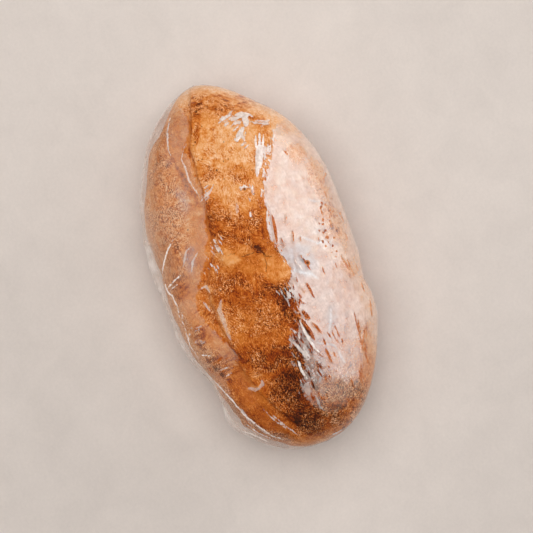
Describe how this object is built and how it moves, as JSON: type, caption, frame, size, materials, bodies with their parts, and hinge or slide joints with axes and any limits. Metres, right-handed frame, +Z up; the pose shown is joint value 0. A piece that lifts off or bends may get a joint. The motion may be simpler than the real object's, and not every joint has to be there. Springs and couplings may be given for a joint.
{
  "type": "sourdough loaf wrapped in clear film",
  "caption": "Oval sourdough loaf with a long fold along one flank, wrapped tight in clear film with a low gathered skirt.",
  "frame": {"origin": "middle of the flat base, where the loaf rests", "axes": "+X along the loaf towards its dark end, +Y across it towards the plain flank, +Z up"},
  "size_m": [0.3, 0.163, 0.0993],
  "materials": {
    "crust": "baked crust, golden to dark brown, seen through gloss film",
    "film": "thin clear wrapping film, glossy and finely wrinkled"
  },
  "bodies": {
    "root": {"wrapped_loaf": "crust"}
  },
  "joints": []
}
